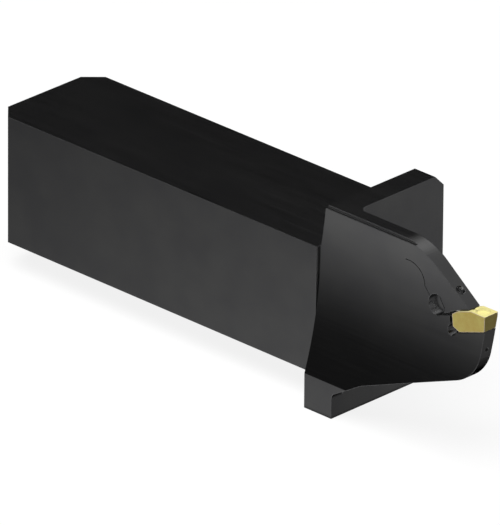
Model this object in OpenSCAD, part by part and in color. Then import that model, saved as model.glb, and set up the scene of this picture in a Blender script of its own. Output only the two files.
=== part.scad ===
// Face grooving tool holder with a self-gripping insert and coolant drillings.
// The holder is one machined piece: a square shank, a cross plate that is taller than the shank, and a
// thin blade bent to the ring that the tool cuts. A spring jaw at the blade's front grips the insert.
//
// Axes of the finished model: +X towards the cutting edge, +Y away from the blade's side, +Z up.
// The origin is the centre of the shank's seat face.
// Inside the modules, x is counted from the shank's rear end, y from its blade side, z from its seat.

/* [Shank] */
// Width of the square shank
shank_w = 25; // [20:0.5:32]
// Height of the shank, which is also the height of the cutting edge
shank_h = 25; // [22:0.5:32]
// Length of the shank from its rear end to the cross plate
shank_len = 81.6; // [70:0.1:140]
// Chamfer on the two upright rear edges
rear_chamfer = 3.2; // [0.5:0.1:5]
// Width of the grinding relief between the shank's blade side and the plate
relief_w = 0.55; // [0.3:0.05:1.5]
// Depth of the grinding relief
relief_d = 0.9; // [0.4:0.05:1.5]

/* [Cross plate] */
// Thickness of the cross plate at its foot
plate_t = 6.7; // [5.5:0.1:12]
// Height of the plate above the shank
plate_rise = 8.65; // [7:0.1:12]
// Depth of the plate's foot below the shank
plate_drop = 5.3; // [3:0.1:10]
// How far the foot stands out past the shank's blade side
plate_near = 3.3; // [1.5:0.1:5]
// Lean of the rear face above the shank
plate_lean = 10.8; // [0:0.2:14]
// Chamfer on the plate's upper far corner
plate_corner = 2.2; // [0.5:0.1:4]

/* [Blade] */
// Overhang of the cutting edge in front of the plate
reach = 34; // [32:0.1:38]
// Thickness of the blade at the height of the cutting edge
blade_t = 2.8; // [2.4:0.05:3.1]
// Step from the shank's side to the blade's concave face, at the height of the cutting edge
near_recess = 0.57; // [0.2:0.05:0.8]
// Radius of the blade's concave face
near_r = 73.4; // [65:0.1:120]
// Radius of the blade's convex face
far_r = 68; // [60:0.1:100]
// Slope of the jaw's front, from level
jaw_angle = 37.5; // [34:0.5:42]
// Radius of the bend between the blade's top and the jaw's slope
bend_r = 13; // [2:0.5:14]
// Slope of the blade's underside, from level
under_angle = 20; // [16:0.2:22]
// Depth of the blade's nose below the cutting edge, where its front and underside meet
nose_depth = 12.4; // [11.5:0.1:14]
// Radius of the nose
nose_r = 7.2; // [5:0.1:8]
// Lean of the blade's front face below the insert
front_lean = 7.4; // [5:0.2:10]
// Slope of the heel that runs from the underside down to the plate
heel_angle = 30; // [26:0.5:36]
// Length of the heel along the shank's direction
heel_len = 6.6; // [5:0.1:9]
// Radius between the heel and the plate's front face
heel_r = 1.4; // [0.5:0.1:3]
// Radius between the blade's convex side and the plate's front face
root_r = 1.5; // [0.5:0.1:2.5]
// Height of the rebate along the blade's top edge
rebate_h = 0.4; // [0.1:0.05:0.6]
// Width of the rebate along the blade's top edge
rebate_w = 0.75; // [0.2:0.05:0.9]

/* [Spring jaw] */
// Radius of the key hole that opens the jaw
key_r = 2; // [1.5:0.05:2.2]
// Distance of the key hole behind the cutting edge
key_back = 12.2; // [12:0.1:13]
// Depth of the key hole below the cutting edge
key_down = 1.75; // [1.5:0.05:2.2]
// Depth of the key hole from the blade's concave side; the slit alone goes right through
key_depth = 2; // [1:0.1:2.2]
// Width of the slit
slit_w = 0.15; // [0.1:0.05:0.4]
// Radius of the slit's curved end
slit_r = 3.75; // [3:0.05:4]
// Length of the slit's level end
slit_tail = 0.9; // [0.5:0.1:3]

/* [Insert] */
// Cutting width
insert_w = 3.5; // [3.3:0.05:4]
// Height of the insert, square to its seat
insert_h = 4.15; // [3.9:0.05:4.4]
// Length of the insert along the shank's direction
insert_len = 8.1; // [7.8:0.1:8.3]
// Slope of the insert's seat, from level
seat_angle = 19; // [17:0.5:21]
// Depth of the seat's upper line below the cutting edge, at the jaw's tip
grip_down = 0.19; // [0.1:0.01:0.4]
// Distance of the jaw's tip behind the cutting edge
grip_back = 4.35; // [4:0.05:4.6]
// Relief angle of the front and side faces
relief_angle = 6; // [3:0.5:8]
// Taper of each side in plan, towards the rear
plan_taper = 1.2; // [0.5:0.1:2]
// Radius of the two cutting corners
corner_r = 0.25; // [0.1:0.05:0.4]
// Height of the seat's ridges, which the insert's grooves ride on
ridge_h = 0.35; // [0.2:0.05:0.5]
// Space between the insert's rear and the pocket, where only the stop reaches across
rear_gap = 0.8; // [0.3:0.05:0.9]
// Space between the insert's flats and the seats beside the ridges, so that only the ridges bear
flat_gap = 0.12; // [0.05:0.01:0.2]
// Width of the stop behind the insert
stop_w = 1; // [0.6:0.1:1.4]
// Radius of the relief in the pocket's lower corner
notch_r = 1; // [0.6:0.05:1.1]
// Radius of the chip former's hollow, seen from above
chip_r = 1.4; // [0.8:0.05:1.5]
// Depth of the chip former's hollow
chip_d = 0.42; // [0.1:0.02:0.5]

/* [Coolant] */
// Radius of the inlet's tapping drill
inlet_r = 4.4; // [3:0.1:5]
// Depth of the inlet's thread
inlet_len = 12; // [8:0.5:16]
// Radius of the gallery along the shank
gallery_r = 2.5; // [1.5:0.1:3]
// Distance of the spare inlet behind the plate
spare_back = 22; // [14:0.5:40]
// Radius of the cross drilling in the plate
cross_r = 1.6; // [1:0.1:2]
// Radius of the riser drilling in the plate
riser_r = 1.4; // [1:0.1:1.6]
// Radius of the feed drilling in the blade's top
feed_r = 0.65; // [0.4:0.05:0.8]
// Radius of the drillings that lead to the two coolant exits
exit_r = 0.45; // [0.35:0.05:0.6]
// Radius of the exit's mouth on the jaw
mouth_r = 0.9; // [0.7:0.05:1]
// Depth of the exit's mouth, square to the jaw's slope
mouth_depth = 0.8; // [0.5:0.05:1]
// Radial clearance of each plug in its hole
plug_gap = 0.03; // [0.01:0.01:0.06]
// How deep each plug sits below the surface
plug_sink = 0.4; // [0.2:0.05:0.8]

/* [Hidden] */
$fn = 72;
past = 1;
arc_steps = 14;
steel_black = [0.2, 0.2, 0.21];
coated_gold = [0.65, 0.57, 0.3];
plug_black = [0.13, 0.13, 0.14];

// Heights and stations that several features share
cut_z = shank_h;
top_z = shank_h + plate_rise;
foot_z = -plate_drop;
front_x = shank_len + plate_t;
edge_x = front_x + reach;
lean_x = shank_len + plate_rise * tan(plate_lean);
far_y = near_recess + blade_t;
insert_y = insert_w / 2;

// Jaw: its tip is the point where the slope meets the insert's upper seat line
jaw_tip = [edge_x - grip_back, cut_z - grip_down];
jaw_top = [jaw_tip[0] - (top_z - jaw_tip[1]) / tan(jaw_angle), top_z];

// Seat lines of the insert, upper and lower, both at the seat's slope
function upper_seat_z(x) = jaw_tip[1] + (x - jaw_tip[0]) * tan(seat_angle);
function lower_seat_z(x) = upper_seat_z(x) - insert_h / cos(seat_angle);
insert_back = edge_x - insert_len;
pocket_back = insert_back - rear_gap;
front_fall = (cut_z - lower_seat_z(edge_x)) * tan(relief_angle) / (1 - tan(seat_angle) * tan(relief_angle));
front_low_x = edge_x - front_fall;
groove_end = front_low_x - 0.8;
notch = [insert_back - 0.15, lower_seat_z(insert_back + 1.3) + 0.1];

// Nose and underside
lip = [edge_x - 0.4, lower_seat_z(edge_x - 0.4)];
nose = [lip[0] - (nose_depth - (cut_z - lip[1])) * tan(front_lean), cut_z - nose_depth];
function under_z(x) = nose[1] + (x - nose[0]) * tan(under_angle);
heel = [front_x + heel_len, under_z(front_x + heel_len)];
heel_foot_z = heel[1] - heel_len * tan(heel_angle);
heel_end_z = min(heel_foot_z - heel_r, max(heel_foot_z - 2 * heel_r - past, foot_z + 0.2));

// Slit: a quarter turn over the jaw's hinge, then into the key hole, across it and on to the pocket
key_hole = [edge_x - key_back, cut_z - key_down];
slit_mid = [key_hole[0] - key_r - slit_r - 0.95, cut_z + 1];
slit_in = key_hole + [-key_r + 0.6, 0.9];
slit_out = key_hole + key_r * [0.12, -0.86];
slit_end = [insert_back - rear_gap / 2, upper_seat_z(insert_back) - 0.8];

// Coolant drillings
gallery_y = shank_w / 2;
gallery_z = shank_h / 2;
cross_x = shank_len + plate_t / 2;
cross_end = 0.9;
riser_y = 3.3;
feed_z = cut_z + plate_rise - 2.1;
feed_y = (near_recess + far_y) / 2 - 0.2;
nose_y = feed_y - 0.1;
feed_turn = slit_mid[0] + 1.8;
jaw_exit = [jaw_tip[0] - 3.2, jaw_tip[1] + 3.2 * tan(jaw_angle)];
mouth_end = jaw_exit - mouth_depth * [sin(jaw_angle), cos(jaw_angle)];
nose_exit = [nose[0] + 0.7, cut_z - 7.1];
spare_x = shank_len - spare_back;

// Screw plugs: thread radius, length and socket of each
inlet_plug_len = 6;
cross_plug_r = cross_r + 0.6;
cross_plug_len = 4.5;
riser_plug_r = riser_r + 0.6;
riser_plug_len = 4;
feed_plug_r = feed_r + 0.35;
feed_plug_len = 2.5;

// Points on a circle's arc, from one angle through a turn
function arc(mid, r, start, turn) =
    [for (i = [0 : arc_steps]) mid + r * [cos(start + turn * i / arc_steps), sin(start + turn * i / arc_steps)]];

function unit(v) = v / norm(v);

// The arc that rounds corner p between its neighbours a and b
function corner_arc(p, a, b, r) =
    let (ua = unit(a - p), ub = unit(b - p), half = acos(ua * ub) / 2)
    let (mid = p + unit(ua + ub) * r / sin(half))
    let (s = p + ua * r / tan(half) - mid, e = p + ub * r / tan(half) - mid)
    let (start = atan2(s[1], s[0]), swing = atan2(s[0] * e[1] - s[1] * e[0], s * e))
    arc(mid, r, start, swing);

// An outline whose corners are rounded by the radii listed beside them, 0 for a sharp one
function rounded(points, radii) =
    let (n = len(points))
    [for (i = [0 : n - 1]) each radii[i] > 0
        ? corner_arc(points[i], points[(i + n - 1) % n], points[(i + 1) % n], radii[i])
        : [points[i]]];

// A side view outline, in x and z, stretched across from y = from to y = to
module across(from, to) {
    translate([0, to, 0]) rotate([90, 0, 0]) linear_extrude(height = to - from) children();
}

// A rear view outline, in y and z, stretched along from x = from to x = to
module along(from, to) {
    translate([from, 0, 0]) rotate([90, 0, 90]) linear_extrude(height = to - from) children();
}

// A round drilling between two points
module drilling(from, to, r) {
    d = to - from;
    turn = [0, acos(d[2] / norm(d)), atan2(d[1], d[0])];
    translate(from) rotate(turn) cylinder(r = r, h = norm(d));
}

// Everything is built from the shank's rear end, and moved so that the seat's centre is the origin
module place() {
    translate([-shank_len / 2, -shank_w / 2, 0]) children();
}

// Square bar with the two rear upright edges chamfered
module shank_bar() {
    c = rear_chamfer;
    linear_extrude(height = shank_h) polygon([
        [c, 0], [shank_len + past, 0], [shank_len + past, shank_w], [c, shank_w], [0, shank_w - c], [0, c]
    ]);
}

// Cross plate: upright to the shank's top, leaning forward above it, with one chamfered corner
module cross_plate() {
    difference() {
        across(-plate_near, shank_w) polygon([
            [shank_len, foot_z], [front_x, foot_z], [front_x, top_z], [lean_x, top_z], [shank_len, shank_h]
        ]);
        along(shank_len - past, front_x + past) polygon([
            [shank_w - plate_corner, top_z], [shank_w + past, top_z - plate_corner - past],
            [shank_w + past, top_z + past], [shank_w - plate_corner, top_z + past]
        ]);
    }
}

// Side view of the blade, with its bend, nose and heel rounded
function blade_outline() = rounded(
    [[front_x - past, top_z], jaw_top, jaw_tip, [edge_x - grip_back + 0.6, lip[1]], lip, nose, heel,
     [front_x, heel_foot_z], [front_x, heel_end_z], [front_x - past, heel_end_z]],
    [0, bend_r, 0, 0, 0, nose_r, 3, heel_r, 0, 0]);

// Rear view of the space between the blade's two faces: flat above the cutting edge on the convex side
module blade_section() {
    translate([far_y - far_r, cut_z]) circle(r = far_r, $fn = 360);
    translate([-plate_near - past, cut_z]) square([far_y + plate_near + past, plate_rise + past]);
}

// Blade before the concave face is cut, with the fillet at its root
module blade_blank() {
    intersection() {
        across(-plate_near, far_y + root_r + past) polygon(blade_outline());
        union() {
            along(front_x - 2 * past, edge_x + past) blade_section();
            root_fillet();
        }
    }
}

// Fillet between the convex side and the plate's front face: bent below the cutting edge, straight above it
module root_fillet() {
    translate([front_x, far_y - far_r, cut_z]) intersection() {
        rotate([0, 90, 0]) rotate_extrude($fn = 360) difference() {
            translate([far_r - past, -past]) square([root_r + past, root_r + past]);
            translate([far_r + root_r, root_r]) circle(r = root_r);
        }
        translate([-2 * past, 0, -shank_h - plate_drop]) cube([root_r + 3 * past, far_r + 2 * root_r, shank_h + plate_drop]);
    }
    translate([front_x, far_y, cut_z]) linear_extrude(height = plate_rise + past) difference() {
        translate([-past, -past]) square(root_r + past);
        translate([root_r, root_r]) circle(r = root_r);
    }
}

// Space in front of the concave face, for the whole height
module concave_cut() {
    translate([shank_len, near_recess - near_r, cut_z]) rotate([0, 90, 0])
        cylinder(r = near_r, h = plate_t + reach + past, $fn = 360);
}

// Narrow groove that lets a grinding wheel run out beside the plate
module grinding_relief() {
    translate([shank_len - relief_w, -past, -past]) cube([relief_w, past + relief_d, shank_h + 2 * past]);
}

// Small step along the blade's top edge
module top_rebate() {
    edge_y = near_recess - near_r + sqrt(near_r * near_r - plate_rise * plate_rise);
    translate([shank_len, -plate_near - past, top_z - rebate_h])
        cube([plate_t + reach, edge_y + plate_near + past + rebate_w, rebate_h + past]);
}

// Side view of the space that the insert slides into
function pocket_outline() = [
    [edge_x + past, lower_seat_z(edge_x + past)], [insert_back + 1.3, lower_seat_z(insert_back + 1.3)],
    [pocket_back, notch[1] + notch_r / 2], [pocket_back, upper_seat_z(insert_back) - 0.5],
    [insert_back + 0.95, upper_seat_z(insert_back + 0.95)], jaw_tip + [0.001, 0], [jaw_tip[0] + 0.6, top_z],
    [edge_x + past, top_z]
];

// Ridge along a seat line, pointing up for the lower seat and down for the upper one
module seat_ridge(from, to, side) {
    half = ridge_h * 2;
    base = side > 0 ? lower_seat_z(from) : upper_seat_z(from);
    run = (to - from) / cos(seat_angle);
    translate([from, insert_y, base]) rotate([0, -seat_angle, 0]) rotate([90, 0, 90]) linear_extrude(height = run)
        polygon([[-half, -side * 0.2], [-half, 0], [0, side * ridge_h], [half, 0], [half, -side * 0.2]]);
}

// Narrow stop in the middle of the pocket's rear wall
module pocket_stop() {
    low_z = notch[1] + notch_r + 0.1;
    translate([pocket_back - 0.3, insert_y - stop_w / 2, low_z])
        cube([rear_gap + 0.3, stop_w, upper_seat_z(insert_back) - 1.15 - low_z]);
}

// Outline of a straight strip between two points
function strip(a, b, w) =
    let (side = unit([a[1] - b[1], b[0] - a[0]]) * w / 2)
    [a + side, b + side, b - side, a - side];

// Slit that frees the jaw, cut right through the blade, wider from the key hole to the pocket
module jaw_slit() {
    h = slit_w / 2;
    polygon(concat(
        [slit_mid + [-slit_tail, slit_r - h], slit_mid + [-slit_tail, slit_r + h]],
        arc(slit_mid, slit_r + h, 90, -90), [slit_in + [h, 0], slit_in - [h, 0]],
        arc(slit_mid, slit_r - h, 0, 90)));
    polygon(strip(slit_in, slit_out, slit_w));
    polygon(strip(slit_out, slit_end, 0.5));
}

// Inlets, gallery and the drillings that carry coolant to the jaw and the nose
module coolant_drillings() {
    translate([-past, gallery_y, gallery_z]) rotate([0, 90, 0]) cylinder(r = inlet_r, h = inlet_len + past);
    drilling([0, gallery_y, gallery_z], [cross_x, gallery_y, gallery_z], gallery_r);
    translate([spare_x, gallery_y, -past]) cylinder(r = inlet_r, h = inlet_plug_len + plug_sink + past);
    drilling([spare_x, gallery_y, 0], [spare_x, gallery_y, gallery_z], gallery_r);
    drilling([cross_x, cross_end, gallery_z], [cross_x, shank_w, gallery_z], cross_r);
    drilling([cross_x, shank_w - cross_plug_len - plug_sink, gallery_z], [cross_x, shank_w + past, gallery_z], cross_plug_r);
    drilling([cross_x, riser_y, foot_z], [cross_x, riser_y, feed_z], riser_r);
    drilling([cross_x, riser_y, foot_z - past], [cross_x, riser_y, foot_z + riser_plug_len + plug_sink], riser_plug_r);
    drilling([shank_len, feed_y, feed_z], [feed_turn, feed_y, feed_z], feed_r);
    drilling([shank_len, feed_y, feed_z], [lean_x + feed_plug_len, feed_y, feed_z], feed_plug_r);
    drilling([feed_turn - 0.2, feed_y, feed_z + 0.1], [mouth_end[0], feed_y, mouth_end[1]], exit_r);
    drilling([mouth_end[0], feed_y, mouth_end[1]], [2 * jaw_exit[0] - mouth_end[0], feed_y, 2 * jaw_exit[1] - mouth_end[1]], mouth_r);
    drilling([cross_x, cross_end + 0.3, gallery_z], [nose_exit[0] + past, nose_y, nose_exit[1] + 0.2], exit_r);
}

// The holder, one machined piece
module tool_holder() {
    color(steel_black) place() difference() {
        union() {
            shank_bar();
            cross_plate();
            difference() {
                blade_blank();
                across(-plate_near - past, far_y + 2 * past) {
                    polygon(pocket_outline());
                    jaw_slit();
                    translate(notch) circle(r = notch_r);
                }
                across(-plate_near - past, near_recess + key_depth) translate(key_hole) circle(r = key_r);
            }
            intersection() {
                union() {
                    seat_ridge(insert_back + 2, groove_end - 0.2, 1);
                    seat_ridge(insert_back + 1.2, jaw_tip[0] - 0.4, -1);
                    pocket_stop();
                }
                along(front_x, edge_x) blade_section();
            }
        }
        concave_cut();
        grinding_relief();
        top_rebate();
        coolant_drillings();
    }
}

// Side view of the insert, clear of the jaw, of the pocket's back and of the flats beside the ridges
function insert_outline() =
    let (top = [0, -flat_gap / cos(seat_angle)], low_x = front_low_x + flat_gap * tan(relief_angle))
    [
        [edge_x, cut_z], [low_x, lower_seat_z(low_x) - top[1]],
        [insert_back + 1.5, lower_seat_z(insert_back + 1.5) - top[1]],
        [insert_back, lower_seat_z(insert_back + 1.5) + 0.85],
        [insert_back, upper_seat_z(insert_back) - 0.55], [insert_back + 1.3, upper_seat_z(insert_back + 1.3)] + top,
        [jaw_tip[0] + (grip_down - top[1]) / tan(seat_angle), cut_z]
    ];

// Coated carbide insert: one cutting edge, sides that taper down and back, grooves that ride on the ridges
module cutting_insert() {
    color(coated_gold) place() difference() {
        intersection() {
            across(-past, insert_w + past) polygon(insert_outline());
            along(insert_back - past, edge_x + past) insert_section();
            linear_extrude(height = shank_h + past) insert_plan();
        }
        seat_ridge(insert_back - past, groove_end, 1);
        seat_ridge(insert_back - past, jaw_tip[0] + past, -1);
        chip_former();
    }
}

// Rear view of the insert: full width at the cutting edge, narrower below it
module insert_section() {
    fall = 7;
    in = fall * tan(relief_angle);
    polygon([[0, cut_z + past], [insert_w, cut_z + past], [insert_w, cut_z], [insert_w - in, cut_z - fall], [in, cut_z - fall], [0, cut_z]]);
}

// Plan of the insert: square front with small corners, narrower at the rear
module insert_plan() {
    in = insert_len * tan(plan_taper);
    polygon(rounded(
        [[edge_x, 0], [edge_x, insert_w], [insert_back, insert_w - in], [insert_back, in]],
        [corner_r, corner_r, 0, 0]));
}

// Round hollow behind the cutting edge that curls the chip
module chip_former() {
    r = (chip_r * chip_r + chip_d * chip_d) / (2 * chip_d);
    translate([edge_x - chip_r - 0.6, insert_y, cut_z + r - chip_d]) sphere(r = r);
}

// Screw plug with a hexagon socket, standing on z = 0 with its socket up
module socket_plug(r, len, socket) {
    difference() {
        cylinder(r = r - plug_gap, h = len);
        translate([0, 0, len - socket * 0.9]) cylinder(r = socket / sqrt(3), h = socket + past, $fn = 6);
    }
}

// Plug in the spare inlet under the shank
module inlet_plug() {
    color(plug_black) place() translate([spare_x, gallery_y, inlet_plug_len + plug_sink]) rotate([180, 0, 0])
        socket_plug(inlet_r, inlet_plug_len, 5);
}

// Plug in the cross drilling, in the plate's far side
module cross_plug() {
    color(plug_black) place() translate([cross_x, shank_w - cross_plug_len - plug_sink, gallery_z]) rotate([-90, 0, 0])
        socket_plug(cross_plug_r, cross_plug_len, 2);
}

// Plug in the riser drilling, in the foot's underside
module riser_plug() {
    color(plug_black) place() translate([cross_x, riser_y, foot_z + riser_plug_len + plug_sink]) rotate([180, 0, 0])
        socket_plug(riser_plug_r, riser_plug_len, 2);
}

// Plain pressed plug in the feed drilling, in the plate's leaning rear face
module feed_plug() {
    color(plug_black) place() translate([lean_x, feed_y, feed_z]) rotate([0, 90, 0])
        cylinder(r = feed_plug_r - plug_gap, h = feed_plug_len);
}

tool_holder();
cutting_insert();
inlet_plug();
cross_plug();
riser_plug();
feed_plug();
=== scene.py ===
# %% [markdown]
# # Face grooving tool holder
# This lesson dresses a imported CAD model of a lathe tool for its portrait. The tool is a square steel
# shank, a taller cross plate, and a thin blade bent to the ring that it cuts. A spring jaw at the
# blade's front grips a gold-coated carbide insert. The steel body keeps its CAD mesh and gets a
# blackened finish. The insert is remade with honed edges and a crisper hollow, and the coolant inlet
# gets its thread. The tool's lengths are in millimetres, and MM turns them to Blender's metres. The
# studio around it is in metres.

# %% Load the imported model
import bmesh
import bpy
import math
import numpy as np
from mathutils import Matrix, Vector


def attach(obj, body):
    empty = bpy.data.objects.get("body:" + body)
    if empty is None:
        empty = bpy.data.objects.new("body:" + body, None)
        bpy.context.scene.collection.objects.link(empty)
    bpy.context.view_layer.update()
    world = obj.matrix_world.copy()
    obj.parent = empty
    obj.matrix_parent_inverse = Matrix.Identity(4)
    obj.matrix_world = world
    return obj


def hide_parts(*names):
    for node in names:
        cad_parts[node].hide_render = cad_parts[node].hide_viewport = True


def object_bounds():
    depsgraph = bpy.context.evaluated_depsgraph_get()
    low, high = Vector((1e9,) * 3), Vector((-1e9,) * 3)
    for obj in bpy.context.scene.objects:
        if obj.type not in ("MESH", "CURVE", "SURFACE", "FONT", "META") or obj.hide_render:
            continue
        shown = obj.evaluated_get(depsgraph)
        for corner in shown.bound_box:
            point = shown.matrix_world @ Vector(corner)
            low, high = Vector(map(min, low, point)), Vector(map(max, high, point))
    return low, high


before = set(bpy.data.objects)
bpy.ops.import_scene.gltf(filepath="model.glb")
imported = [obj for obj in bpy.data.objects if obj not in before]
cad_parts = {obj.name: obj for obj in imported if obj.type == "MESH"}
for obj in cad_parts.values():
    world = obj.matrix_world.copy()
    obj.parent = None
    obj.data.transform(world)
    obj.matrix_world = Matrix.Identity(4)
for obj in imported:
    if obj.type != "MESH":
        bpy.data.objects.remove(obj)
cad_low, cad_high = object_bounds()
MM = 0.001
print("nodes:", sorted(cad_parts))
print("CAD box in mm:", [round(value / MM, 2) for value in (*cad_low, *cad_high)])

# %% [markdown]
# ## The camera
# A long lens far away keeps the shank's edges nearly parallel, as in a catalogue picture. The
# camera's direction is given by its turn around the tool and its lift above the floor, and its place
# by how far the tool sits from the middle of the picture. One could aim a camera by hand, but three
# axes worked out from two angles can be checked against measured lines.

# %% The camera's three axes
turn, lift, roll = math.radians(45.72), math.radians(25.16), math.radians(0.452)
towards = Vector((math.cos(turn) * math.cos(lift), -math.sin(turn) * math.cos(lift), math.sin(lift)))
level = Vector((math.sin(turn), math.cos(turn), 0.0))
upright = towards.cross(level)
picture_right = math.cos(roll) * level + math.sin(roll) * upright
picture_up = -math.sin(roll) * level + math.cos(roll) * upright
print("camera looks from", [round(value, 3) for value in towards])

# %% The camera's place and lens
SHANK_CORNER = Vector((-40.8, -12.5, 25.0))
RIGHT_OF_CORNER, BELOW_CORNER = 46.078, 27.288
CAMERA_DISTANCE = 2548.7
SENSOR_WIDTH = 36.0
FOCAL_PIXELS, FRAME_PIXELS = 14079, 525
middle = SHANK_CORNER + RIGHT_OF_CORNER * picture_right - BELOW_CORNER * picture_up
lens = bpy.data.cameras.new("long_lens")
lens.sensor_width = SENSOR_WIDTH
lens.lens = FOCAL_PIXELS * SENSOR_WIDTH / FRAME_PIXELS
lens.clip_start = 0.5
lens.clip_end = 20.0
camera = bpy.data.objects.new("catalogue_camera", lens)
axes = Matrix((picture_right, picture_up, towards)).transposed().to_4x4()
camera.matrix_world = Matrix.Translation((middle + CAMERA_DISTANCE * towards) * MM) @ axes
bpy.context.scene.collection.objects.link(camera)
bpy.context.scene.camera = camera
print("lens in mm:", round(lens.lens, 1))

# %% [markdown]
# ## Helpers for materials and meshes
# Every colour below is written as an sRGB hex code, as a paint shop would quote it, and one function
# turns it into the linear values that shaders use. One function adds a shader node with its settings
# and links. Another puts a grid of points into a mesh, and the last two start a material and give one
# to a CAD node, whose mesh stays as it is.


# %% Colour, shader node and surface
def linear(hex_code):
    """Each channel c becomes c / 12.92 when small, else ((c + 0.055) / 1.055) to the power 2.4."""
    channels = [int(hex_code[start:start + 2], 16) / 255 for start in (1, 3, 5)]
    return tuple(c / 12.92 if c <= 0.04045 else ((c + 0.055) / 1.055) ** 2.4 for c in channels) + (1.0,)


def add(tree, kind, settings=None, links=None):
    """Add a shader node. Settings fill its sockets or properties; links feed its sockets by name or place."""
    item = tree.nodes.new("ShaderNode" + kind)
    for name, value in (settings or {}).items():
        if isinstance(name, int) or name in item.inputs:
            item.inputs[name].default_value = value
        else:
            setattr(item, name, value)
    for name, source in (links or {}).items():
        tree.links.new(source, item.inputs[name])
    return item


def surface(name, points, slot, wrap_rows=False):
    """A mesh from a grid of points, rows by columns by 3. Columns always close, and rows close if asked.

    A piece of the tool gives a slot name, which only makes it ride on the root body. A piece of the studio
    gives None and doesn't ride.
    """
    rows, columns = points.shape[:2]
    row, column = np.meshgrid(np.arange(rows if wrap_rows else rows - 1), np.arange(columns), indexing="ij")
    below = (row + 1) % rows
    beside = (column + 1) % columns
    faces = np.stack([row * columns + column, row * columns + beside,
                      below * columns + beside, below * columns + column], axis=-1).reshape(-1, 4)
    mesh = bpy.data.meshes.new(name)
    mesh.from_pydata(points.reshape(-1, 3).tolist(), [], faces.tolist())
    mesh.shade_smooth()
    piece = bpy.data.objects.new(name, mesh)
    bpy.context.scene.collection.objects.link(piece)
    if slot:
        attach(piece, "root")
    return piece


def new_material(name):
    """An empty material, and the node tree to fill."""
    material = bpy.data.materials.new(name)
    material.use_nodes = True
    material.node_tree.nodes.clear()
    return material, material.node_tree


def refinish(node_names, material):
    """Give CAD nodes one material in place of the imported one."""
    for node_name in node_names:
        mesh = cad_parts[node_name].data
        mesh.materials.clear()
        mesh.materials.append(material)


# %% [markdown]
# ## Blackened steel
# The holder is hardened tool steel, ground or milled and then blackened in a hot salt bath. The black
# layer is thinner than a hair, so the metal's shine and its fine grinding lines still show. To the eye
# that gives a dark, satin, metallic grey that mirrors the studio in soft bands, with faint clouds where
# the bath took unevenly. Its edges are painted a lighter grey, partly wear and partly a painted highlight.
#
# Slots, corners and drilled holes get painted shade: their colour is darkened almost to black, and they
# are made duller. The Ambient Occlusion node finds them: it tells how much of the surroundings a point sees
# within a millimetre.
# A faceted mesh also mirrors its own flat facets, which a real curved face wouldn't do so harshly. So
# a ray that has already bounced off something shiny passes through the steel, by Light Path's Is
# Glossy Ray and a Transparent shader, and every face mirrors the studio alone.


# %% Fine lines and clouds, sized in millimetres
def grinding_lines(tree, across_mm, along_mm):
    """Noise on object coordinates, stretched along X so that a line is across_mm wide and along_mm long."""
    place = add(tree, "TexCoord")
    across = 1000 / across_mm
    along = 1000 / along_mm
    stretch = add(tree, "Mapping", {"Scale": (along, across, across)}, {"Vector": place.outputs["Object"]})
    return add(tree, "TexNoise", {"Scale": 1.0, "Detail": 3.0, "Roughness": 0.6},
               {"Vector": stretch.outputs[0]})


def clouds(tree, size_mm, detail=3.0):
    """Noise on object coordinates whose patches are about size_mm wide."""
    place = add(tree, "TexCoord")
    return add(tree, "TexNoise", {"Scale": 1000 / size_mm, "Detail": detail, "Roughness": 0.55},
               {"Vector": place.outputs["Object"]})


def between(tree, factor, low, high, low_out, high_out):
    """Map the factor from the span low..high to the span low_out..high_out, and clamp it there."""
    return add(tree, "MapRange", {"From Min": low, "From Max": high, "To Min": low_out, "To Max": high_out},
               {"Value": factor}).outputs["Result"]


def blend_colours(tree, factor, first, second):
    """Mix two colours, each a hex code or a socket, by the factor socket."""
    item = add(tree, "Mix", {"data_type": "RGBA"})
    tree.links.new(factor, item.inputs["Factor"])
    for place, colour in ((6, first), (7, second)):
        if isinstance(colour, str):
            item.inputs[place].default_value = linear(colour)
        else:
            tree.links.new(colour, item.inputs[place])
    return item.outputs[2]


# %% The holder's finish
CLOUD_SIZE = 9.0
LINE_WIDTH, LINE_LENGTH = 0.35, 14.0
# How far the painted shade in slots and corners reaches, in millimetres.
PAINTED_SHADE_REACH = 0.9
BUMP_HEIGHT = 0.01


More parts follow.
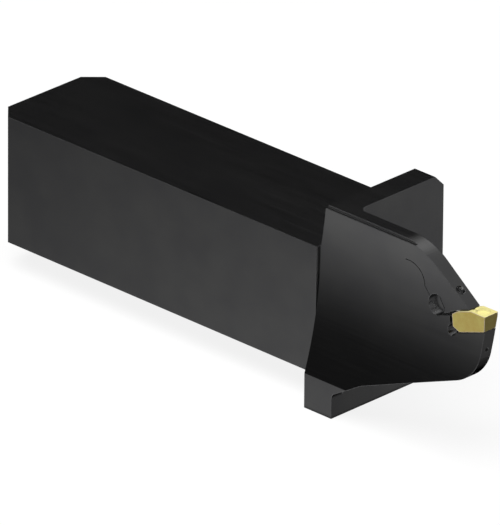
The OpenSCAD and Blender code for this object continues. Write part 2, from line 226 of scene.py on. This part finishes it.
def blackened_steel(name, light, dark, worn_and_highlight, rough, edge_mm):
    """Clouds between two greys, a lighter grey at the edges that is partly wear and partly painted highlight,
    and painted black shade where little of the room is seen.

    An edge is where a Bevel node's rounded normal leaves the flat one.
    """
    material, tree = new_material(name)
    cloud = clouds(tree, CLOUD_SIZE)
    tint = blend_colours(tree, between(tree, cloud.outputs[0], 0.35, 0.65, 0, 1), dark, light)
    lines = grinding_lines(tree, LINE_WIDTH, LINE_LENGTH)
    rounded = add(tree, "Bevel", {"Radius": edge_mm * MM, "samples": 6})
    flat = add(tree, "NewGeometry")
    same = add(tree, "VectorMath", {"operation": "DOT_PRODUCT"},
               {0: rounded.outputs[0], 1: flat.outputs["Normal"]})
    edge = between(tree, same.outputs["Value"], 0.97, 0.80, 0, 0.5)
    # The edges are lightened towards the third grey: partly wear, partly a painted highlight.
    colour = blend_colours(tree, edge, tint, worn_and_highlight)
    # Painted shade: where the Ambient Occlusion node sees little of the room, the colour goes to black.
    hollow = add(tree, "AmbientOcclusion", {"samples": 8, "Distance": PAINTED_SHADE_REACH * MM})
    unshaded_share = between(tree, hollow.outputs["AO"], 0.25, 0.85, 0, 1)
    colour = blend_colours(tree, unshaded_share, "#000000", colour)
    ground = between(tree, lines.outputs[0], 0.3, 0.7, rough - 0.03, rough + 0.03)
    oily = between(tree, unshaded_share, 0, 1, 0.4, 0)
    roughness = add(tree, "Math", {"operation": "ADD"}, {0: ground, 1: oily}).outputs[0]
    bump = add(tree, "Bump", {"Strength": 0.05, "Distance": BUMP_HEIGHT * MM},
               {"Height": lines.outputs[0], "Normal": rounded.outputs[0]})
    shader = add(tree, "BsdfPrincipled", {"Metallic": 1.0, "Specular Tint": linear("#c8c8c8")},
                 {"Base Color": colour, "Roughness": roughness, "Normal": bump.outputs[0]})
    path = add(tree, "LightPath")
    clear = add(tree, "BsdfTransparent")
    seen = add(tree, "MixShader",
               links={0: path.outputs["Is Glossy Ray"], 1: shader.outputs[0], 2: clear.outputs[0]})
    add(tree, "OutputMaterial", links={"Surface": seen.outputs[0]})
    return material


# The third grey of each is the lighter edge colour, partly wear and partly painted highlight.
holder_steel = blackened_steel("tool_steel_ground_and_blackened", "#5b5b5b", "#565657", "#747475", 0.2, 0.12)
plug_steel = blackened_steel("alloy_steel_rolled_black_oxide", "#3c3c3e", "#343436", "#77777a", 0.34, 0.10)
refinish(["tool_holder"], holder_steel)
refinish(["inlet_plug", "cross_plug", "riser_plug", "feed_plug"], plug_steel)
print("steel finishes:", holder_steel.name, plug_steel.name)


# %% [markdown]
# ## The insert
# The insert is pressed and sintered carbide under a few thousandths of a millimetre of gold nitride.
# Its edges are honed round so that they don't chip, and that thin round is painted paler than the faces
# all along its outline as a painted highlight. The CAD solid has sharp edges. A copy of its mesh is merged,
# its flat faces are joined, and a bevel rounds it, so the insert stays exactly where its seat is.
#
# The press also leaves a hollow behind the cutting edge, which curls the chip. It has a flat floor and
# a steep wall. A short cone has that shape, so it is cut out of the honed insert with a Boolean, over
# the CAD solid's plainer hollow. The faces that look up, the top and the hollow, get a paler lemon gold
# as a painted highlight, so the top has a coating material of its own; the ground faces keep the deeper gold.

# %% Merge a copy of the CAD insert
MERGE_DISTANCE = 0.002
FLAT_ANGLE = math.radians(1.5)
shape = bmesh.new()
shape.from_mesh(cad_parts["cutting_insert"].data)
bmesh.ops.remove_doubles(shape, verts=shape.verts, dist=MERGE_DISTANCE * MM)
bmesh.ops.dissolve_limit(shape, angle_limit=FLAT_ANGLE, verts=shape.verts, edges=shape.edges)
bmesh.ops.recalc_face_normals(shape, faces=shape.faces)
insert_mesh = bpy.data.meshes.new("honed_insert")
shape.to_mesh(insert_mesh)
shape.free()
insert = bpy.data.objects.new("honed_insert", insert_mesh)
bpy.context.scene.collection.objects.link(insert)
print("insert faces before honing:", len(insert_mesh.polygons))

# %% Hone its edges
HONE_WIDTH = 0.28
SHARPER_THAN = math.radians(36)
hone = insert.modifiers.new("hone", "BEVEL")
hone.width = HONE_WIDTH * MM
hone.segments = 3
hone.limit_method = "ANGLE"
hone.angle_limit = SHARPER_THAN
hone.miter_outer = "MITER_ARC"
print("hone width in mm:", HONE_WIDTH)

# %% Press the hollow that curls the chip
HOLLOW_MIDDLE = (79.5, -10.75)
HOLLOW_FLOOR, HOLLOW_TOP = 24.56, 25.3
FLOOR_RADIUS, TOP_RADIUS = 1.2, 1.57
where = Matrix.Translation(Vector((*HOLLOW_MIDDLE, (HOLLOW_FLOOR + HOLLOW_TOP) / 2)) * MM)
cone = bmesh.new()
bmesh.ops.create_cone(cone, cap_ends=True, segments=64, radius1=FLOOR_RADIUS * MM,
                      radius2=TOP_RADIUS * MM, depth=(HOLLOW_TOP - HOLLOW_FLOOR) * MM, matrix=where)
cone_mesh = bpy.data.meshes.new("press_cone")
cone.to_mesh(cone_mesh)
cone.free()
cutter = bpy.data.objects.new("press_cone", cone_mesh)
bpy.context.scene.collection.objects.link(cutter)
press = insert.modifiers.new("press", "BOOLEAN")
press.operation = "DIFFERENCE"
press.solver = "EXACT"
press.object = cutter
pressed = bpy.data.meshes.new_from_object(insert.evaluated_get(bpy.context.evaluated_depsgraph_get()))
insert.modifiers.clear()
insert.data = pressed
bpy.data.objects.remove(cutter)
pressed.shade_smooth()
pressed.set_sharp_from_angle(angle=math.radians(35))
smooth = insert.modifiers.new("keep_flats", "WEIGHTED_NORMAL")
smooth.keep_sharp = True
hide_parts("cutting_insert")
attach(insert, "root")
print("insert faces after pressing:", len(pressed.polygons))


# %% The gold nitride coating
STAIN_SIZE = 2.5
RIM_WIDTH = 0.3
# The pale colour painted along the honed rim as a highlight.
RIM_HIGHLIGHT_COLOUR = "#fbe6c8"
# Sintered grain is far finer than a pixel, so it is drawn this wide to show at all.
GRAIN_SIZE = 0.12
# How far the painted shade on the insert reaches, in millimetres.
INSERT_SHADE_REACH = 0.8


def nitride_coating(name, dark, light, shade_colour, rim):
    """Clouds between two golds, a share of the pale rim colour at the edges as a painted highlight, and a
    painted brown shade where little of the room is seen.
    """
    material, tree = new_material(name)
    cloud = clouds(tree, STAIN_SIZE)
    tint = blend_colours(tree, between(tree, cloud.outputs[0], 0.35, 0.65, 0, 1), dark, light)
    rounded = add(tree, "Bevel", {"Radius": RIM_WIDTH * MM, "samples": 8})
    flat = add(tree, "NewGeometry")
    same = add(tree, "VectorMath", {"operation": "DOT_PRODUCT"},
               {0: rounded.outputs[0], 1: flat.outputs["Normal"]})
    # Painted highlight: the honed rim is blended towards the pale rim colour.
    edge = between(tree, same.outputs["Value"], 0.995, 0.93, 0, rim)
    tint = blend_colours(tree, edge, tint, RIM_HIGHLIGHT_COLOUR)
    grain = clouds(tree, GRAIN_SIZE, 2.0)
    bump = add(tree, "Bump", {"Strength": 0.12, "Distance": BUMP_HEIGHT * MM}, {"Height": grain.outputs[0]})
    # Painted shade: where the Ambient Occlusion node sees little of the room, the colour goes to the shade
    # colour.
    hollow = add(tree, "AmbientOcclusion", {"samples": 8, "Distance": INSERT_SHADE_REACH * MM})
    colour = blend_colours(tree, between(tree, hollow.outputs["AO"], 0.25, 0.9, 0, 1), shade_colour, tint)
    roughness = between(tree, grain.outputs[0], 0.3, 0.7, 0.2, 0.28)
    shader = add(tree, "BsdfPrincipled", {"Metallic": 0.15},
                 {"Base Color": colour, "Roughness": roughness, "Normal": bump.outputs[0]})
    add(tree, "OutputMaterial", links={"Surface": shader.outputs[0]})
    return material


# The last two arguments are the painted brown shade and the share of painted rim highlight. The second
# coating is the first made paler as a painted highlight for the faces that look up.
ground_gold = nitride_coating("carbide_ground_gold_nitride", "#e4c658", "#eedb6c", "#2e2204", 1.0)
top_highlight_gold = nitride_coating("carbide_gold_nitride_painted_top_highlight", "#f6e89c", "#fff8a2", "#3a2a04", 0.3)
pressed.materials.clear()
pressed.materials.append(ground_gold)
pressed.materials.append(top_highlight_gold)
print("coatings:", ground_gold.name, top_highlight_gold.name)

# %% Which faces take the painted top highlight
LOWEST_LIT_TOP, FACING_UP = 24.3, 0.3
face_count = len(pressed.polygons)
centres = np.empty(face_count * 3)
normals = np.empty(face_count * 3)
pressed.polygons.foreach_get("center", centres)
pressed.polygons.foreach_get("normal", normals)
# Faces high on the insert that look up get the second coating, made paler as a painted highlight.
high_enough = centres.reshape(-1, 3)[:, 2] > LOWEST_LIT_TOP * MM
turned_up = normals.reshape(-1, 3)[:, 2] > FACING_UP
lit_top_faces = high_enough & turned_up
pressed.polygons.foreach_set("material_index", lit_top_faces.astype(np.int32))
print("faces left as pressed:", int(lit_top_faces.sum()), "of", face_count)

# %% [markdown]
# ## The inlet's thread
# The coolant inlet at the shank's rear end has a pipe thread with 28 turns to the inch. A thread is a
# wall whose radius falls and rises as one winds along it, so it needs no cutting tool here: the
# radius is a function of the angle around the hole and the depth along it.

# %% Work out the threaded wall
INLET_WALL, PITCH, FIRST_DEPTH, LAST_DEPTH = 4.395, 0.907, 0.15, 11.2
RIDGE_HEIGHT, SKIN = 0.34, 0.01
LEAD_IN, RUN_OUT = 0.9, 0.3
REAR_END, INLET_HEIGHT = -40.8, 12.5
AROUND_STEPS, DEPTH_STEPS = 96, 121
around = np.linspace(0, 2 * np.pi, AROUND_STEPS, endpoint=False)
depth = np.linspace(FIRST_DEPTH, LAST_DEPTH, DEPTH_STEPS)
depth_grid, around_grid = np.meshgrid(depth, around, indexing="ij")
winding = (depth_grid / PITCH - around_grid / (2 * np.pi)) % 1.0
ridge = 1.0 - np.abs(2.0 * winding - 1.0)
begins = np.clip((depth_grid - FIRST_DEPTH) / LEAD_IN, 0, 1)
ends = np.clip((LAST_DEPTH - depth_grid) / RUN_OUT, 0, 1)
inner_radius = INLET_WALL - RIDGE_HEIGHT * ridge * (begins * ends) - SKIN
print("thread depth in mm:", round(float(INLET_WALL - inner_radius.min()), 3))

# %% Close the wall behind and put it in the inlet
back_of_wall = np.full((2, AROUND_STEPS), INLET_WALL)
last_ring = np.full((1, AROUND_STEPS), LAST_DEPTH)
first_ring = np.full((1, AROUND_STEPS), FIRST_DEPTH)
radius = np.vstack([inner_radius, back_of_wall])
along = np.vstack([depth_grid, last_ring, first_ring])
angle = np.vstack([around_grid, around_grid[:2]])
thread_points = np.stack([REAR_END + along, radius * np.cos(angle),
                          INLET_HEIGHT + radius * np.sin(angle)], axis=-1) * MM
thread = surface("inlet_thread", thread_points, "blackened_steel", wrap_rows=True)
thread.data.materials.append(holder_steel)
print("thread faces:", len(thread.data.polygons))

# %% [markdown]
# ## The studio
# Satin metal has almost no colour of its own: what shows is what stands around it. A photographer
# would put it in a tent with a few bright and dark cards, so the tent here is a large ball around the
# tool that only reflections can see. Its brightness is a dim room plus soft round cards, each given
# by its turn, its height, two angles and a strength, less one wide black flag. The first cards shape
# the picture from the catalogue camera: the near side, the front, the bend and the insert's hollow.
# The others stand where that camera sees none of their reflections, and light the tool's other sides.
# The floor is a plain white table. One wide soft lamp high on the blade's side lights the coating and
# draws a faint shadow.


# %% The tent and its cards
def card(tree, direction, turned, raised, inner, outer, strength):
    """A soft round card: full strength within the inner angle of its middle, none beyond the outer one."""
    across, up = math.radians(turned), math.radians(raised)
    middle_of_card = (math.cos(up) * math.cos(across), math.cos(up) * math.sin(across), math.sin(up))
    near = add(tree, "VectorMath", {"operation": "DOT_PRODUCT", 1: middle_of_card}, {0: direction})
    return add(tree, "MapRange",
               {"interpolation_type": "SMOOTHSTEP", "From Min": math.cos(math.radians(outer)),
                "From Max": math.cos(math.radians(inner)), "To Min": 0.0, "To Max": strength},
               {"Value": near.outputs["Value"]}).outputs["Result"]


def tent_cloth(cards, flag, room):
    """Emission that is the room's level plus every card, read from the direction seen from the tool."""
    material, tree = new_material("tent_cloth_with_cards")
    place = add(tree, "TexCoord")
    aim = add(tree, "VectorMath", {"operation": "NORMALIZE"}, {0: place.outputs["Object"]})
    total = None
    for settings in cards:
        glow = card(tree, aim.outputs["Vector"], *settings)
        first = {0: total} if total else {}
        total = add(tree, "Math", {"operation": "ADD", 0: room}, {**first, 1: glow}).outputs[0]
    shaded = add(tree, "Math", {"operation": "ADD"}, {0: total, 1: card(tree, aim.outputs["Vector"], *flag)})
    level = add(tree, "Math", {"operation": "MAXIMUM", 1: 0.0}, {0: shaded.outputs[0]})
    light = add(tree, "Emission", {"Color": (1, 1, 1, 1)}, {"Strength": level.outputs[0]})
    add(tree, "OutputMaterial", links={"Surface": light.outputs[0]})
    return material


# Each card: its turn from the X axis, its height, the inner and outer angle, all in degrees, and strength.
CATALOGUE_CARDS = [(-91, -66.5, 2, 64, 1.48), (65, -11, 24, 30, 0.65), (118, 55.5, 2, 24, 0.73),
                   (59, -43, 6, 23, 0.27), (158, 50, 4, 22, 1.6)]
OTHER_CARDS = [(55, 83.5, 39, 45, 0.55), (-45, 12, 10, 60, 0.6), (160, -21, 13, 29, 0.89),
               (38, 20, 5, 28, 0.5), (-140, 42, 5, 28, 0.6), (-2, -14, 5, 29, 0.55),
               (-174, 18, 6, 28, 0.5)]
FLAG = (73.5, -58.5, 31, 57.5, -0.21)
ROOM = 0.054
TENT_RADIUS = 0.6
rise = np.linspace(-np.pi / 2 + 0.001, np.pi / 2 - 0.001, 33)
sweep = np.linspace(0, 2 * np.pi, 64, endpoint=False)
rise_grid, sweep_grid = np.meshgrid(rise, sweep, indexing="ij")
ball = np.stack([np.cos(rise_grid) * np.cos(sweep_grid), np.cos(rise_grid) * np.sin(sweep_grid),
                 np.sin(rise_grid)], axis=-1) * TENT_RADIUS
tent = surface("studio_tent", ball, None)
tent.data.materials.append(tent_cloth(CATALOGUE_CARDS + OTHER_CARDS, FLAG, ROOM))
tent.visible_camera = False
tent.visible_diffuse = False
tent.visible_shadow = False
tent.visible_transmission = False
tent.visible_volume_scatter = False
print("cards in the tent:", len(CATALOGUE_CARDS + OTHER_CARDS))


# %% The white table
TABLE_CLOUD = 60.0
GLOW_SHARE = 0.87
TABLE_DROP = 0.02


def table_top(name):
    """White lacquer that takes the lamp's shadow, with most of its brightness added for the camera alone."""
    material, tree = new_material(name)
    cloud = clouds(tree, TABLE_CLOUD)
    tint = blend_colours(tree, cloud.outputs[0], "#fdfdfd", "#ffffff")
    paint = add(tree, "BsdfPrincipled", {"Roughness": 0.9, "Specular IOR Level": 0.0}, {"Base Color": tint})
    glow = add(tree, "Emission", {"Strength": 1.0}, {"Color": tint})
    path = add(tree, "LightPath")
    share = add(tree, "Math", {"operation": "MULTIPLY", 1: GLOW_SHARE}, {0: path.outputs["Is Camera Ray"]})
    both = add(tree, "MixShader", links={0: share.outputs[0], 1: paint.outputs[0], 2: glow.outputs[0]})
    add(tree, "OutputMaterial", links={"Surface": both.outputs[0]})
    return material


lowest = cad_low[2] - TABLE_DROP * MM
reach = np.array([0.0001, 0.2, 0.5, 1.0, 2.0, 4.0, 8.0])
reach_grid, sweep_grid = np.meshgrid(reach, sweep, indexing="ij")
table = np.stack([reach_grid * np.cos(sweep_grid), reach_grid * np.sin(sweep_grid),
                  np.full_like(reach_grid, lowest)], axis=-1)
floor = surface("white_table", table[::-1], None)
floor.data.materials.append(table_top("table_top_white_lacquer"))
floor.visible_glossy = False
floor.visible_diffuse = False
print("table height in mm:", round(lowest / MM, 2))

# %% The lamp
LAMP_LEVEL = 1.2
LAMP_ANGLE = math.radians(50)
LAMP_PLACE = Vector((0.0, -0.335, 0.942))
lamp = bpy.data.lights.new("wide_soft_lamp", "SUN")
lamp.energy = LAMP_LEVEL * math.pi
lamp.angle = LAMP_ANGLE
lamp_object = bpy.data.objects.new("wide_soft_lamp", lamp)
lamp_object.rotation_euler = LAMP_PLACE.to_track_quat("Z", "Y").to_euler()
bpy.context.scene.collection.objects.link(lamp_object)
print("lamp strength:", round(lamp.energy, 2))

# %% The surroundings, white to the camera and dim to the tool
DIM_LEVEL = 0.02
world = bpy.data.worlds.new("pale_surroundings")
bpy.context.scene.world = world
world.use_nodes = True
sky = world.node_tree
sky.nodes.clear()
path = add(sky, "LightPath")
first_seen = add(sky, "Math", {"operation": "MAXIMUM"},
                 {0: path.outputs["Is Camera Ray"], 1: path.outputs["Is Glossy Ray"]})
seen = add(sky, "Math", {"operation": "MAXIMUM"},
           {0: first_seen.outputs[0], 1: path.outputs["Is Transmission Ray"]})
white = add(sky, "Background", {"Color": (1, 1, 1, 1), "Strength": 1.0})
dim = add(sky, "Background", {"Color": (1, 1, 1, 1), "Strength": DIM_LEVEL})
both = add(sky, "MixShader", links={0: seen.outputs[0], 1: dim.outputs[0], 2: white.outputs[0]})
add(sky, "OutputWorld", links={"Surface": both.outputs[0]})
bpy.context.scene.view_settings.view_transform = "Standard"
print("surroundings:", world.name)
